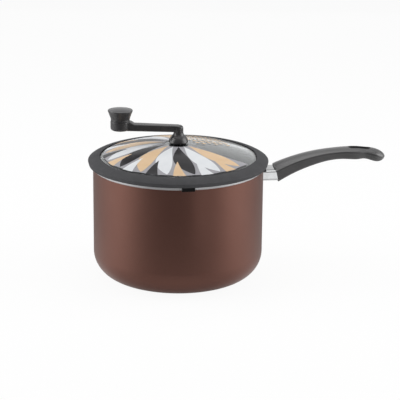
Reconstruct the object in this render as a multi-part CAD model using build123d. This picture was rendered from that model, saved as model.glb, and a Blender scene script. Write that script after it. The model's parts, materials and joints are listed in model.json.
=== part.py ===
from build123d import *
import os
from math import asin, atan2, cos, degrees, radians, sin, sqrt, tan

# Stovetop popcorn popper: a deep saucepan with a long handle, a domed glass lid
# in a soft rim, and a crank through the lid that turns a wire stirrer.
#
# Frame: millimetres, +Z up. The origin is on the pan's axis, at the underside of
# its base. The handle points along +X. Heights are above the hob.

# ---------------------------------------------------------------- pan
pan_radius = 102.0          # outside of the wall
pan_height = 138.0          # top of the lip
pan_wall = 2.0
pan_floor = 3.0
pan_corner = 31.0           # outside radius between wall and base
base_groove_inset = 9.0     # turned groove, in from the edge of the base's flat part
base_groove_width = 2.0
base_groove_depth = 0.4
lip_height = 2.8            # bare turned band at the top of the wall
lip_flare = 0.9             # how far that band stands out of the wall
lip_edge = 0.5              # rounding of the lip's corners

# ---------------------------------------------------------------- lid
glass_inset = 4.0           # glass's edge in from the outside of the pan's wall
glass_thickness = 4.0
dome_radius = 275.0         # sphere of the glass's outer face
glass_edge = 0.8            # ground edge
glass_over_lip = 7.2        # glass's upper edge above the pan's lip
skirt_gap = 0.6             # radial gap between the lid's skirt and the wall
skirt_depth = 6.0
skirt_width = 4.0
skirt_edge = 1.0
rim_cover = 4.4             # how far the soft rim reaches in over the glass
rim_overhang = 6.0          # how far it reaches out past the wall
rim_lip = 1.2               # rubber above the glass at the rim's inner edge
rim_under_lip = 1.5         # rubber below the glass there
rim_side = 4.2              # height of the rim's outer side
rim_side_rise = 0.4         # underside of the overhang above the pan's lip
rim_side_draft = 1.1        # the side leans in towards its foot by this much
rim_crown = 1.2             # bulge of the rim's sloping top
rim_edge = 0.6              # rounding of the rim's upper edges
rim_relief = 0.7            # seat's width beyond the lip
groove_gap = 0.05           # between the glass and the groove that holds it
key_width = 15.0            # keys under the rim, which stand in the pan's notches
key_depth = 5.0             # below the pan's lip
key_proud = 0.3             # beyond the lip's outer face
key_gap = 0.4               # each side of a key and below it

# ---------------------------------------------------------------- crank bearing
shaft_radius = 3.0
shaft_gap = 0.05            # running clearance in the bush
bush_radius = 5.0
bush_hole_gap = 0.5         # between the bush and the hole in the glass
bush_flange_radius = 8.5
bush_flange = 1.6
bush_tail = 2.0             # bush below its nut
seal_thickness = 1.0        # soft washers above and below the glass
bush_nut_flats = 17.0
bush_nut_height = 4.0
thread_gap = 0.05           # drawn between a thread and its nut or hole
axial_play = 0.3            # between a turning piece and the one it bears on

# ---------------------------------------------------------------- crank
crank_rest = 168.8          # direction of the crank at rest, degrees from +X
crank_throw = 69.6          # shaft axis to knob axis
bell_lift = 0.5             # crank's bell above the glass
bell_radius = 11.7
bell_foot = 1.2             # height of the bell's widest place above its foot
bell_foot_inset = 0.6
bell_middle_radius = 9.1
bell_middle = 7.0           # height of that radius above the bell's foot
bell_waist = 5.8
bell_height = 12.3
bell_foot_lean = (-0.2, 0, 1)   # direction of the bell's side at its foot
bell_waist_lean = (-0.1, 0, 1)  # and at its waist
bell_gap = 0.8              # radial, around the bush's flange
elbow_rise = 1.0            # flat underside of the arm above the bell's waist
arm_width_at_shaft = 10.6
arm_width_at_knob = 12.4
arm_height_at_shaft = 7.9
arm_height_at_knob = 8.5
arm_edge = 1.8              # rounding of the arm's long edges
elbow_radius = 3.6          # rounding over the arm's shaft end
hub_radius = 11.8           # boss under the knob
hub_height = 11.2
hub_foot_edge = 3.2
hub_top_edge = 0.6
ramp_length = 4.5           # slope from the arm's top up to the boss
shaft_cover = 2.0           # arm material above the moulded-in shaft
shaft_flat = 0.6            # depth of the flats that key the shaft
shaft_flat_play = 1.5       # flat's lower end above the bush

# ---------------------------------------------------------------- shaft fittings
washer_radius = 6.5
washer_thickness = 0.8
clip_radius = 5.6
clip_thickness = 0.8
clip_groove = 0.7           # depth of the clip's groove in the shaft
clip_mouth = 3.6            # width of the clip's open side

# ---------------------------------------------------------------- stirrer
floor_gap = 1.6             # lowest turning piece above the pan's floor
stirrer_turn = 60.0         # loops' direction from the crank, degrees
stirrer_hub_radius = 8.0
stirrer_hub_height = 13.0
stirrer_hub_edge = 0.8
wire_radius = 1.5
wire_exit = 4.0             # half the distance between a loop's legs at the hub
wire_spread = 13.0          # and at its far end
wire_reach_past_flat = 2.0   # far end of a loop's centre line beyond the floor's flat part
wire_bend = 8.0
wire_drop_start = 16.0      # the legs start down from the hub here
wire_drop_end = 26.0        # and run along the floor from here
wire_below_top = 3.5        # legs' centre below the hub's top
wire_sink = 4.0             # how deep the legs are set in the hub
grub_radius = 2.0
grub_height = 4.0           # grub screw's centre above the hub's foot
grub_inset = 0.4            # below the hub's face
grub_socket_flats = 2.0
grub_socket_depth = 2.0

# ---------------------------------------------------------------- knob
knob_base_radius = 11.4
knob_neck_radius = 11.3
knob_neck = 2.2             # height of the neck above the knob's foot
knob_rim_radius = 14.8
knob_height = 13.2
knob_rim_edge = 0.7
knob_hollow = 0.15          # how far the flared side curves in
cap_radius = 13.2
cap_depth = 1.8
cap_dome = 1.9
cap_gap = 0.05
pin_radius = 2.5
pin_gap = 0.06              # running clearance of the knob on its pin
pin_thread_radius = 2.0
pin_head_radius = 5.0
pin_head_height = 2.4
pin_head_depth = 5.2        # head's seat below the knob's top
pin_head_gap = 0.8          # around the pin's head
knob_washer_radius = 7.0
knob_washer = 0.6
knob_washer_proud = 0.15    # above the boss that it is let into
knob_washer_gap = 0.1
pin_nut_flats = 7.0
pin_nut_height = 3.2
pin_nut_inset = 0.4         # below the boss's underside
pin_nut_gap = 0.1

# ---------------------------------------------------------------- handle
# A size that ends in "_out" is a distance out from the pan's wall, along +X.
grip_crest_out = 105.0      # where the grip's upper edge lines are highest
grip_crest_rise = 11.8      # their height there, above the pan's lip
grip_front_arc = 200.0      # radius of those lines before the crest
grip_back_arc = 110.0       # and after it
grip_front_out = 16.0       # middle of the grip's front face
grip_front_lean = 12.2      # degrees
grip_belly = 0.8            # bulge of the grip's underside
grip_foot_share = 0.9       # width at the foot of the sides, as a share of the width above
grip_foot_edge = 3.0
grip_tip = 13.0             # length over which the end rounds off
grip_tip_lift = 2.8         # middle of the rounded end above the edge lines
grip_tip_steps = 4
grip_tip_blunt = 0.35       # share of a step left flat at the very end
# Sections square to the edge lines: distance out, half width, crown above the
# edge lines, depth of the sides below them, rounding of the edges.
grip_sections = [
    (6.0, 15.8, 5.5, 12.7, 1.3),
    (22.5, 15.0, 5.3, 12.5, 1.3),
    (44.0, 13.4, 4.3, 11.3, 1.5),
    (68.0, 12.2, 3.4, 9.7, 1.8),
    (93.0, 12.0, 2.9, 8.9, 2.1),
    (118.0, 12.6, 3.8, 9.0, 2.7),
    (137.0, 12.4, 5.2, 8.0, 3.6),
]
hang_slot_out = 118.5       # middle of the hanging slot
hang_slot_length = 28.0
hang_slot_width = 11.0

guard_width = 28.0
guard_drop = 7.0            # guard's crest below the pan's lip
guard_side = 11.7           # height of its straight sides
guard_crown = 2.4           # its crest above them
guard_sheet = 0.9
guard_foot_edge = 2.4
guard_top_edge = 1.8

bracket_plate = 2.0
bracket_plate_width = 24.0
bracket_plate_gap = 0.8     # between the plate's foot and the guard
bracket_plate_height = 8.6
tongue_width = 9.6
tongue_thickness = 4.0
tongue_bend_out = 10.0
tongue_end_out = 50.0
tongue_slope = 23.2         # degrees
tongue_gap = 0.2            # around the tongue in the grip

rivet_spacing = 17.4
rivet_radius = 2.2
rivet_head_radius = 4.2
rivet_head_height = 1.8
rivet_tail_radius = 3.3
rivet_tail_height = 1.4

grip_screw_out = 38.0
screw_radius = 2.4
screw_hole_gap = 0.3
screw_head_radius = 4.2
screw_head_height = 2.4
screw_socket_flats = 3.0
screw_socket_depth = 1.4
screw_ledge = 2.4           # grip between the screw's washer and the tongue
screw_recess_gap = 0.4
screw_end_gap = 0.4         # insert's blind end beyond the screw
spring_washer = 1.0
insert_radius = 3.6
insert_length = 4.2

# ---------------------------------------------------------------- worked out
pan_inside = pan_radius - pan_wall
flat_radius = pan_radius - pan_corner
lip_radius = pan_radius + lip_flare
base_groove_outside = flat_radius - base_groove_inset
glass_radius = pan_radius - glass_inset
dome_centre = pan_height + glass_over_lip - sqrt(dome_radius**2 - glass_radius**2)
glass_top = dome_centre + dome_radius
glass_under = glass_top - glass_thickness
rim_inside = glass_radius - rim_cover
rim_outside = pan_radius + rim_overhang
rim_foot = pan_height + rim_side_rise
skirt_outside = pan_inside - skirt_gap
key_face = lip_radius + key_proud
bush_bore = shaft_radius + shaft_gap
flange_top = glass_top + seal_thickness + bush_flange
bush_nut_top = glass_under - seal_thickness
bush_bottom = bush_nut_top - bush_nut_height - bush_tail
bell_bottom = glass_top + bell_lift
arm_underside = bell_bottom + bell_height + elbow_rise
arm_top = arm_underside + arm_height_at_shaft
washer_top = bush_bottom - axial_play
clip_top = washer_top - washer_thickness
groove_radius = shaft_radius - clip_groove
shaft_top = arm_top - shaft_cover
shaft_bottom = pan_floor + floor_gap
stirrer_hub_top = shaft_bottom + stirrer_hub_height
grub_middle = shaft_bottom + grub_height
hub_top = arm_underside + hub_height
washer_seat = hub_top + knob_washer_proud - knob_washer
knob_bottom = hub_top + knob_washer_proud + axial_play / 2
knob_top = knob_bottom + knob_height
pin_head_seat = knob_top - pin_head_depth
pin_head_bottom = pin_head_seat + axial_play / 2
cap_bottom = knob_top - cap_depth
pin_nut_bottom = arm_underside + pin_nut_inset
guard_crest = pan_height - guard_drop
guard_side_top = guard_crest - guard_crown
guard_bottom = guard_side_top - guard_side
bracket_plate_bottom = guard_bottom + guard_sheet + bracket_plate_gap
rivet_level = bracket_plate_bottom + bracket_plate_height / 2
plate_face = pan_radius + bracket_plate
tongue_level = rivet_level
tongue_bend_x = pan_radius + tongue_bend_out
tongue_end_x = pan_radius + tongue_end_out
grip_front_x = pan_radius + grip_front_out
grip_front_level = (guard_bottom + guard_crest) / 2
grip_crest_x = pan_radius + grip_crest_out
grip_crest = pan_height + grip_crest_rise
hang_slot_x = pan_radius + hang_slot_out
grip_screw_x = pan_radius + grip_screw_out
ledge_top = -tongue_thickness / 2 - tongue_gap      # along the screw, from the tongue's middle
washer_bottom = ledge_top - screw_ledge - spring_washer
insert_bottom = tongue_thickness / 2 + tongue_gap
insert_top = insert_bottom + insert_length
wire_reach = flat_radius + wire_reach_past_flat
SPARE = 20.0                # how far a cutting shape runs past what it cuts
TOUCH = 1e-3                # lengths closer than this are the same

os.makedirs("parts", exist_ok=True)
crank_turn = Rot(0, 0, crank_rest)
stirrer_place = Rot(0, 0, crank_rest + stirrer_turn)
knob_place = crank_turn * Pos(crank_throw, 0, 0)


# ---------------------------------------------------------------- shared shapes
def at(radius, height):
    """A point of a turned profile."""
    return (radius, 0, height)


def outline(*points):
    """Straight edges through the points in turn."""
    return [Line(a, b) for a, b in zip(points, points[1:])]


def turned(edges):
    """A solid turned about the Z axis from the edges of a closed profile."""
    return revolve(make_face(Wire(edges)), Axis.Z, 360)


def rod(radius, low, high):
    """A cylinder about the Z axis between two heights."""
    return Pos(0, 0, (low + high) / 2) * Cylinder(radius, high - low)


def tube(outside, inside, low, high):
    """A plain ring about the Z axis between two heights."""
    return rod(outside, low, high) - rod(inside, low, high)


def hexagon(flats, low, high):
    """A hexagonal prism about the Z axis between two heights."""
    return Pos(0, 0, low) * extrude(RegularPolygon(flats / 2, 6, major_radius=False), high - low)


def circles_at(shape, height, radius):
    """A turned shape's circular edges of one height and radius."""
    rims = shape.edges().filter_by(GeomType.CIRCLE)
    return [rim for rim in rims if abs(rim.arc_center.Z - height) + abs(rim.radius - radius) < TOUCH]


def save(name, shape):
    """Writes one node and prints what it holds."""
    solids = shape.solids()
    export_step(solids[0] if len(solids) == 1 else Compound(children=list(solids)), f"parts/{name}.step")
    print(name, len(solids), "solid(s)", round(sum(s.volume for s in solids)), "mm3")


# ---------------------------------------------------------------- pan
def key_blocks(gap, inside, outside, low, high):
    """The two key shapes at the sides of the lip, square to the handle."""
    block = Box(key_width + 2 * gap, outside - inside, high - low)
    return [Pos(0, side * (inside + outside) / 2, (low + high) / 2) * block for side in (-1, 1)]


def along_rivets(radius, start, end):
    """A cylinder on each rivet's axis, between two distances from the pan's axis."""
    turn = degrees(asin(rivet_spacing / 2 / pan_radius))
    place = Pos(0, 0, rivet_level) * Rot(0, 90, 0)
    return [Rot(0, 0, side * turn) * place * rod(radius, start, end) for side in (-1, 1)]


def corner_arc(centre, level, radius):
    """Quarter arc of the pan's corner, from its flat part up to its wall."""
    slant = sin(radians(45)) * radius
    return ThreePointArc(
        at(centre, level - radius),
        at(centre + slant, level - slant),
        at(centre + radius, level),
    )


def pan_shell():
    """Pressed pan: base, rounded corner, wall and bare lip, with the two notches."""
    inner_corner = pan_inside - flat_radius
    lip_foot = pan_height - lip_height
    shell = turned(
        [
            Line(at(0, 0), at(flat_radius, 0)),
            corner_arc(flat_radius, pan_corner, pan_corner),
            *outline(
                at(pan_radius, pan_corner),
                at(pan_radius, lip_foot - lip_flare),
                at(lip_radius, lip_foot),
                at(lip_radius, pan_height),
                at(pan_inside, pan_height),
                at(pan_inside, pan_floor + inner_corner),
            ),
            corner_arc(flat_radius, pan_floor + inner_corner, inner_corner),
            *outline(at(flat_radius, pan_floor), at(0, pan_floor), at(0, 0)),
        ]
    )
    groove_inside = base_groove_outside - base_groove_width
    shell -= tube(base_groove_outside, groove_inside, -SPARE, base_groove_depth)
    lip_rims = circles_at(shell, pan_height, lip_radius) + circles_at(shell, pan_height, pan_inside)
    shell = fillet(lip_rims, lip_edge)
    notch_foot = pan_height - key_depth - key_gap
    shell -= key_blocks(key_gap, pan_inside - SPARE, lip_radius + SPARE, notch_foot, pan_height + SPARE)
    return shell - along_rivets(rivet_radius, pan_inside - SPARE, pan_radius + SPARE)


# ---------------------------------------------------------------- lid
def dome_height(radius, sphere):
    """Height of a sphere about the dome's centre, at a distance from the Z axis."""
    return dome_centre + sqrt(sphere**2 - radius**2)


def glass_dome(gap):
    """The glass without its hole, grown by a gap on every face."""
    shell = Sphere(dome_radius + gap) - Sphere(dome_radius - glass_thickness - gap)
    return Pos(0, 0, dome_centre) * shell & rod(glass_radius + gap, 0, glass_top + SPARE)


def lid_glass():
    """Tempered glass dome with a ground edge and a hole for the bush."""
    dome = glass_dome(0)
    dome = chamfer(dome.edges().filter_by(GeomType.CIRCLE), glass_edge)
    return dome - rod(bush_radius + bush_hole_gap, 0, glass_top + SPARE)


def lid_rim():
    """Soft rim around the glass: sloping top, overhang, seat, skirt and the two keys."""
    lip_top = dome_height(rim_inside, dome_radius) + rim_lip
    under_lip = dome_height(rim_inside, dome_radius - glass_thickness) - rim_under_lip
    side_top = rim_foot + rim_side
    seat_outside = lip_radius + rim_relief
    skirt_inside = skirt_outside - skirt_width
    skirt_foot = pan_height - skirt_depth
    middle = at((rim_inside + rim_outside) / 2, (lip_top + side_top) / 2 + rim_crown)
    rim = turned(
        [
            ThreePointArc(at(rim_inside, lip_top), middle, at(rim_outside, side_top)),
            *outline(
                at(rim_outside, side_top),
                at(rim_outside - rim_side_draft, rim_foot),
                at(seat_outside, rim_foot),
                at(seat_outside, pan_height),
                at(skirt_outside, pan_height),
                at(skirt_outside, skirt_foot),
                at(skirt_inside, skirt_foot),
                at(skirt_inside, pan_height),
                at(rim_inside, under_lip),
                at(rim_inside, lip_top),
            ),
        ]
    )
    rim = fillet(circles_at(rim, side_top, rim_outside) + circles_at(rim, lip_top, rim_inside), rim_edge)
    rim = chamfer(circles_at(rim, skirt_foot, skirt_outside), skirt_edge)
    rim -= glass_dome(groove_gap)
    key_top = rim_foot + rim_side / 2
    return rim + key_blocks(0, skirt_outside - skirt_width / 2, key_face, pan_height - key_depth, key_top)


def shaft_bush():
    """Flanged bush that the shaft turns in, put through the glass from above."""
    body = rod(bush_radius, bush_bottom, flange_top)
    body += rod(bush_flange_radius, flange_top - bush_flange, flange_top)
    return body - rod(bush_bore, 0, flange_top + SPARE)


def glass_seal(low, high):
    """Soft washer on the bush, shaped to the glass that it is pressed on."""
    return tube(bush_flange_radius, bush_radius + thread_gap, low, high) - glass_dome(0)


def bush_nut():
    """Thin nut that clamps the bush to the glass."""
    nut = hexagon(bush_nut_flats, bush_nut_top - bush_nut_height, bush_nut_top)
    return nut - rod(bush_radius + thread_gap, 0, bush_nut_top + SPARE)


# ---------------------------------------------------------------- crank
def crank_shaft():
    """Steel rod from the crank to the stirrer, with a flat at each end and a clip groove."""
    shaft = rod(shaft_radius, shaft_bottom, shaft_top)
    cut = Box(2 * shaft_radius, 2 * shaft_radius, 2 * SPARE)
    flat_y = 2 * shaft_radius - shaft_flat
    shaft -= Pos(0, flat_y, flange_top + shaft_flat_play + SPARE) * cut
    shaft -= Rot(0, 0, stirrer_turn) * Pos(0, flat_y, stirrer_hub_top - SPARE) * cut
    shaft -= tube(shaft_radius + SPARE, groove_radius, clip_top - clip_thickness, clip_top)
    return crank_turn * shaft


def arm_section(x, height=None):
    """The tapering arm's section at a distance from the shaft, or one of another height there."""
    share = x / (crank_throw - hub_radius)
    width = arm_width_at_shaft + share * (arm_width_at_knob - arm_width_at_shaft)
    height = height or arm_height_at_shaft + share * (arm_height_at_knob - arm_height_at_shaft)
    return Pos(x, 0, arm_underside + height / 2) * Rot(0, 90, 0) * RectangleRounded(height, width, arm_edge)


def crank_bell():
    """Turned foot of the crank: a bell over the bush, a waist and the elbow's rounded top."""
    cavity_top = flange_top + axial_play
    cavity_radius = bush_flange_radius + bell_gap
    widest = at(bell_radius, bell_bottom + bell_foot)
    waist = at(bell_waist, bell_bottom + bell_height)
    bell = turned(
        [
            *outline(
                at(0, cavity_top),
                at(cavity_radius, cavity_top),
                at(cavity_radius, bell_bottom),
                at(bell_radius - bell_foot_inset, bell_bottom),
                widest,
            ),
            Spline(
                widest,
                at(bell_middle_radius, bell_bottom + bell_middle),
                waist,
                tangents=(bell_foot_lean, bell_waist_lean),
            ),
            *outline(waist, at(bell_waist, arm_top), at(0, arm_top), at(0, cavity_top)),
        ]
    )
    return fillet(circles_at(bell, arm_top, bell_waist), elbow_radius)


def crank_arm():
    """Moulded crank: bell, elbow, tapering arm and the boss under the knob."""
    reach = crank_throw - hub_radius / 2
    ramp_start = crank_throw - hub_radius - ramp_length
    ramp_slope = (hub_height - arm_height_at_knob) / ramp_length
    arm = loft([arm_section(0), arm_section(reach)])
    ramp_foot = arm_section(ramp_start)
    ramp_head = arm_section(reach, arm_height_at_knob + ramp_slope * (reach - ramp_start))
    ramp = loft([ramp_foot, ramp_head])
    ramp &= rod(crank_throw, arm_underside, hub_top - hub_top_edge)
    hub = rod(hub_radius, arm_underside, hub_top)
    hub = fillet(circles_at(hub, arm_underside, hub_radius), hub_foot_edge)
    hub = fillet(circles_at(hub, hub_top, hub_radius), hub_top_edge)
    crank = crank_bell() + arm + ramp + Pos(crank_throw, 0, 0) * hub
    nut_top = pin_nut_bottom + pin_nut_height
    nut_pocket = hexagon(pin_nut_flats + 2 * pin_nut_gap, arm_underside - SPARE, nut_top)
    washer_pocket = rod(knob_washer_radius + knob_washer_gap, washer_seat, hub_top + SPARE)
    thread_hole = rod(pin_thread_radius + thread_gap, arm_underside, hub_top)
    crank -= Pos(crank_throw, 0, 0) * (nut_pocket + washer_pocket + thread_hole)
    return crank_turn * crank - crank_shaft()


def retaining_clip():
    """Open clip in the shaft's groove, under the thrust washer."""
    clip = tube(clip_radius, groove_radius + thread_gap, clip_top - clip_thickness, clip_top)
    mouth = Pos(0, -clip_radius, clip_top) * Box(clip_mouth, 2 * clip_radius, 4 * clip_thickness)
    return crank_turn * (clip - mouth)


def wire_loop():
    """One loop of the stirrer: out from the hub, down to the floor and back again."""
    high = stirrer_hub_top - wire_below_top
    low = shaft_bottom + wire_radius
    start = stirrer_hub_radius - wire_sink
    leg = [
        (start, wire_exit, high),
        (wire_drop_start, wire_exit, high),
        (wire_drop_end, wire_spread, low),
        (wire_reach, wire_spread, low),
    ]
    back = [(x, -y, z) for x, y, z in reversed(leg)]
    path = FilletPolyline(*leg, *back, radius=wire_bend)
    end = Plane(origin=leg[0], z_dir=(1, 0, 0))
    return sweep(end * Circle(wire_radius), path)


def stirrer_wires():
    """The stirrer's two loops, on opposite sides of the hub."""
    loop = wire_loop()
    return [stirrer_place * loop, stirrer_place * Rot(0, 0, 180) * loop]


def grub_along(radius, start, end):
    """A cylinder on the grub screw's axis, between two distances from the shaft's axis."""
    return stirrer_place * Pos(0, 0, grub_middle) * Rot(-90, 0, 0) * rod(radius, start, end)


def stirrer_hub():
    """Turned hub at the shaft's foot that holds the loops."""
    hub = rod(stirrer_hub_radius, shaft_bottom, stirrer_hub_top)
    hub = chamfer(hub.edges().filter_by(GeomType.CIRCLE), stirrer_hub_edge)
    hub = hub - crank_shaft() - stirrer_wires()
    return hub - grub_along(grub_radius + thread_gap, 0, stirrer_hub_radius + SPARE)


def hub_grub_screw():
    """Grub screw through the hub's side on to the shaft's flat."""
    face = stirrer_hub_radius - grub_inset
    screw = grub_along(grub_radius, shaft_radius - shaft_flat, face)
    socket = hexagon(grub_socket_flats, face - grub_socket_depth, face + SPARE)
    return screw - stirrer_place * Pos(0, 0, grub_middle) * Rot(-90, 0, 0) * socket


# ---------------------------------------------------------------- knob
def crank_knob():
    """Flared knob with a bore for its pin, a well for the pin's head and a seat for the cap."""
    neck = at(knob_neck_radius, knob_bottom + knob_neck)
    rim_foot_height = knob_top - 2 * knob_rim_edge
    rim = at(knob_rim_radius, rim_foot_height)
    side = at(
        (knob_neck_radius + knob_rim_radius) / 2 - knob_hollow,
        (knob_bottom + knob_neck + rim_foot_height) / 2,
    )
    cap_seat_radius = cap_radius + cap_gap
    knob = turned(
        [
            *outline(at(0, knob_bottom), at(knob_base_radius, knob_bottom), neck),
            ThreePointArc(neck, side, rim),
            *outline(rim, at(knob_rim_radius, knob_top), at(0, knob_top), at(0, knob_bottom)),
        ]
    )
    knob = fillet(circles_at(knob, knob_top, knob_rim_radius), knob_rim_edge)
    knob -= rod(pin_radius + pin_gap, 0, knob_top)
    knob -= rod(pin_head_radius + pin_head_gap, pin_head_seat, knob_top)
    knob -= rod(cap_seat_radius, cap_bottom, knob_top + SPARE)
    return knob_place * knob


def knob_cap():
    """Domed cap let into the knob's top."""
    crest = knob_top + cap_dome
    dome = ThreePointArc(at(-cap_radius, knob_top), at(0, crest), at(cap_radius, knob_top))
    half = dome.trim(0.5, 1)
    edge = at(cap_radius, knob_top)
    cap = turned([half, *outline(edge, at(cap_radius, cap_bottom), at(0, cap_bottom), at(0, crest))])
    return knob_place * cap


def knob_pin():
    """Shoulder pin that the knob spins on, screwed through the crank's boss."""
    head = rod(pin_head_radius, pin_head_bottom, pin_head_bottom + pin_head_height)
    shoulder = rod(pin_radius, washer_seat, pin_head_bottom)
    return knob_place * (head + shoulder + rod(pin_thread_radius, pin_nut_bottom, washer_seat))


def knob_washer_ring():
    """Washer let into the boss, under the knob."""
    ring = tube(knob_washer_radius, pin_radius + thread_gap, washer_seat, washer_seat + knob_washer)
    return knob_place * ring


def pin_nut():
    """Nut on the pin, in the boss's underside."""
    nut = hexagon(pin_nut_flats, pin_nut_bottom, pin_nut_bottom + pin_nut_height)
    return knob_place * (nut - rod(pin_thread_radius + thread_gap, 0, hub_top))


# ---------------------------------------------------------------- handle
def grip_spine(out):
    """Height and slope in degrees of the grip's edge lines at a distance out from the wall."""
    along = out - grip_crest_out
    arc = grip_front_arc if along < 0 else grip_back_arc
    rise = sqrt(arc**2 - along**2)
    return grip_crest - arc + rise, degrees(atan2(-along, rise))


def grip_section(out, half_width, crown, side, edge, size=1.0):
    """The grip's section square to its edge lines, shrunk towards the rounded end's middle."""
    height, slope = grip_spine(out)
    foot = half_width * grip_foot_share
    face = make_face(
        [
            ThreePointArc((half_width, 0), (0, crown), (-half_width, 0)),
            Line((-half_width, 0), (-foot, -side)),
            ThreePointArc((-foot, -side), (0, -side - grip_belly), (foot, -side)),
            Line((foot, -side), (half_width, 0)),
        ]
    )
    corners = face.vertices().group_by(Axis.Y)
    face = fillet(corners[-1], edge)
    corners = face.vertices().group_by(Axis.Y)
    face = fillet(corners[0], grip_foot_edge)
    face = Pos(0, grip_tip_lift) * scale(Pos(0, -grip_tip_lift) * face, by=size)
    place = Plane(
        origin=(pan_radius + out, 0, height),
        x_dir=(0, 1, 0),
        z_dir=(cos(radians(slope)), 0, sin(radians(slope))),
    )
    return place * face


def grip_blank():
    """The grip's outer form, with its leaning front face and rounded end."""
    sections = [grip_section(*row) for row in grip_sections]
    end_out, *end_sizes = grip_sections[-1]
    for step in range(1, grip_tip_steps + 1):
        angle = radians(90 * step / (grip_tip_steps + grip_tip_blunt))
        sections.append(grip_section(end_out + grip_tip * sin(angle), *end_sizes, size=cos(angle)))
    blank = loft(sections)
    front = Pos(grip_front_x, 0, grip_front_level) * Rot(0, -grip_front_lean, 0)
    return blank - front * Pos(-3 * SPARE, 0, 0) * Box(6 * SPARE, 6 * SPARE, 6 * SPARE)


def tongue(grow):
    """The bracket's tongue, grown by a gap: level out of the wall, then up along the grip."""
    half = tongue_thickness / 2 + grow
    slope = radians(tongue_slope)
    run = tongue_end_x + grow - tongue_bend_x
    rise = run * tan(slope)
    lean = half * tan(slope / 2)
    tip_x, tip_z = tongue_bend_x + run, tongue_level + rise
    side = Polyline(
        (pan_radius - SPARE / 4, tongue_level - half),
        (tongue_bend_x + lean, tongue_level - half),
        (tip_x + half * sin(slope), tip_z - half * cos(slope)),
        (tip_x - half * sin(slope), tip_z + half * cos(slope)),
        (tongue_bend_x - lean, tongue_level + half),
        (pan_radius - SPARE / 4, tongue_level + half),
        close=True,
    )
    return extrude(Plane.XZ * make_face(side), tongue_width / 2 + grow, both=True)


def handle_bracket():
    """Cast bracket: a plate on the pan's wall and a tongue that runs up into the grip."""
    top = bracket_plate_bottom + bracket_plate_height
    plate = tube(plate_face, pan_radius, bracket_plate_bottom, top)
    plate &= Pos(pan_radius, 0, rivet_level) * Box(4 * SPARE, bracket_plate_width, 2 * bracket_plate_height)
    bracket = plate + (tongue(0) - rod(pan_radius, 0, pan_height))
    bracket -= along_rivets(rivet_radius, pan_inside, pan_radius + SPARE / 2)
    return bracket - on_screw_axis(rod(screw_radius + screw_hole_gap, -SPARE, SPARE))


def bracket_rivets():
    """Rivets through wall and plate: a low head in the pan, a formed tail on the plate."""
    shanks = along_rivets(rivet_radius, pan_inside - rivet_head_height, plate_face + rivet_tail_height)
    heads = along_rivets(rivet_head_radius, pan_inside - rivet_head_height, pan_inside + rivet_head_height)
    tails = along_rivets(rivet_tail_radius, pan_radius, plate_face + rivet_tail_height)
    seat = rod(pan_inside, 0, pan_height)
    plate = rod(plate_face, 0, pan_height)
    return [shank + (head & seat) + (tail - plate) for shank, head, tail in zip(shanks, heads, tails)]


def guard_section(inset):
    """The flame guard's section across the handle, drawn in by an inset."""
    half = guard_width / 2 - inset
    bottom = guard_bottom + inset
    side_top = guard_side_top - inset
    face = make_face(
        [
            Line((half, side_top), (half, bottom)),
            Line((half, bottom), (-half, bottom)),
            Line((-half, bottom), (-half, side_top)),
            ThreePointArc((-half, side_top), (0, guard_crest - inset), (half, side_top)),
        ]
    )
    levels = face.vertices().group_by(Axis.Y)
    face = fillet(levels[-1], guard_top_edge - inset)
    levels = face.vertices().group_by(Axis.Y)
    face = fillet(levels[0], guard_foot_edge - inset)
    return Plane(origin=(pan_inside, 0, 0), x_dir=(0, 1, 0), z_dir=(1, 0, 0)) * face


def flame_guard():
    """Bright sleeve between the pan's wall and the grip's front face."""
    sleeve = extrude(guard_section(0) - guard_section(guard_sheet), 2 * SPARE)
    sleeve -= rod(pan_radius, 0, pan_height)
    front = Pos(grip_front_x, 0, grip_front_level) * Rot(0, -grip_front_lean, 0)
    return sleeve - front * Pos(3 * SPARE, 0, 0) * Box(6 * SPARE, 6 * SPARE, 6 * SPARE)


def on_screw_axis(shape):
    """Puts a shape on the grip screw's axis, its zero at the tongue's middle."""
    height = tongue_level + (grip_screw_x - tongue_bend_x) * tan(radians(tongue_slope))
    return Pos(grip_screw_x, 0, height) * Rot(0, -tongue_slope, 0) * shape


def handle_grip():
    """Moulded grip with its hanging slot, the slot for the tongue and the screw's recess."""
    slot = Pos(hang_slot_x, 0, 0) * extrude(SlotOverall(hang_slot_length, hang_slot_width), 2 * grip_crest)
    recess = rod(screw_head_radius + screw_recess_gap, -2 * SPARE, ledge_top - screw_ledge)
    hole = rod(screw_radius + screw_hole_gap, -2 * SPARE, 0)
    pocket = rod(insert_radius, 0, insert_top)
    return grip_blank() - slot - tongue(tongue_gap) - on_screw_axis(recess + hole + pocket)


def grip_screw():
    """Socket screw from the grip's underside through the tongue into the insert."""
    bottom = washer_bottom - screw_head_height
    head = rod(screw_head_radius, bottom, washer_bottom)
    head -= hexagon(screw_socket_flats, bottom, bottom + screw_socket_depth)
    return on_screw_axis(head + rod(screw_radius, washer_bottom, insert_top - 2 * screw_end_gap))


def screw_washer():
    """Spring washer under the screw's head."""
    washer_inside = screw_radius + thread_gap
    washer_top = washer_bottom + spring_washer
    return on_screw_axis(tube(screw_head_radius, washer_inside, washer_bottom, washer_top))


def grip_insert():
    """Blind threaded insert moulded in the grip above the tongue."""
    insert = rod(insert_radius, insert_bottom, insert_top)
    return on_screw_axis(insert - rod(screw_radius + thread_gap, 0, insert_top - screw_end_gap))


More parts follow.
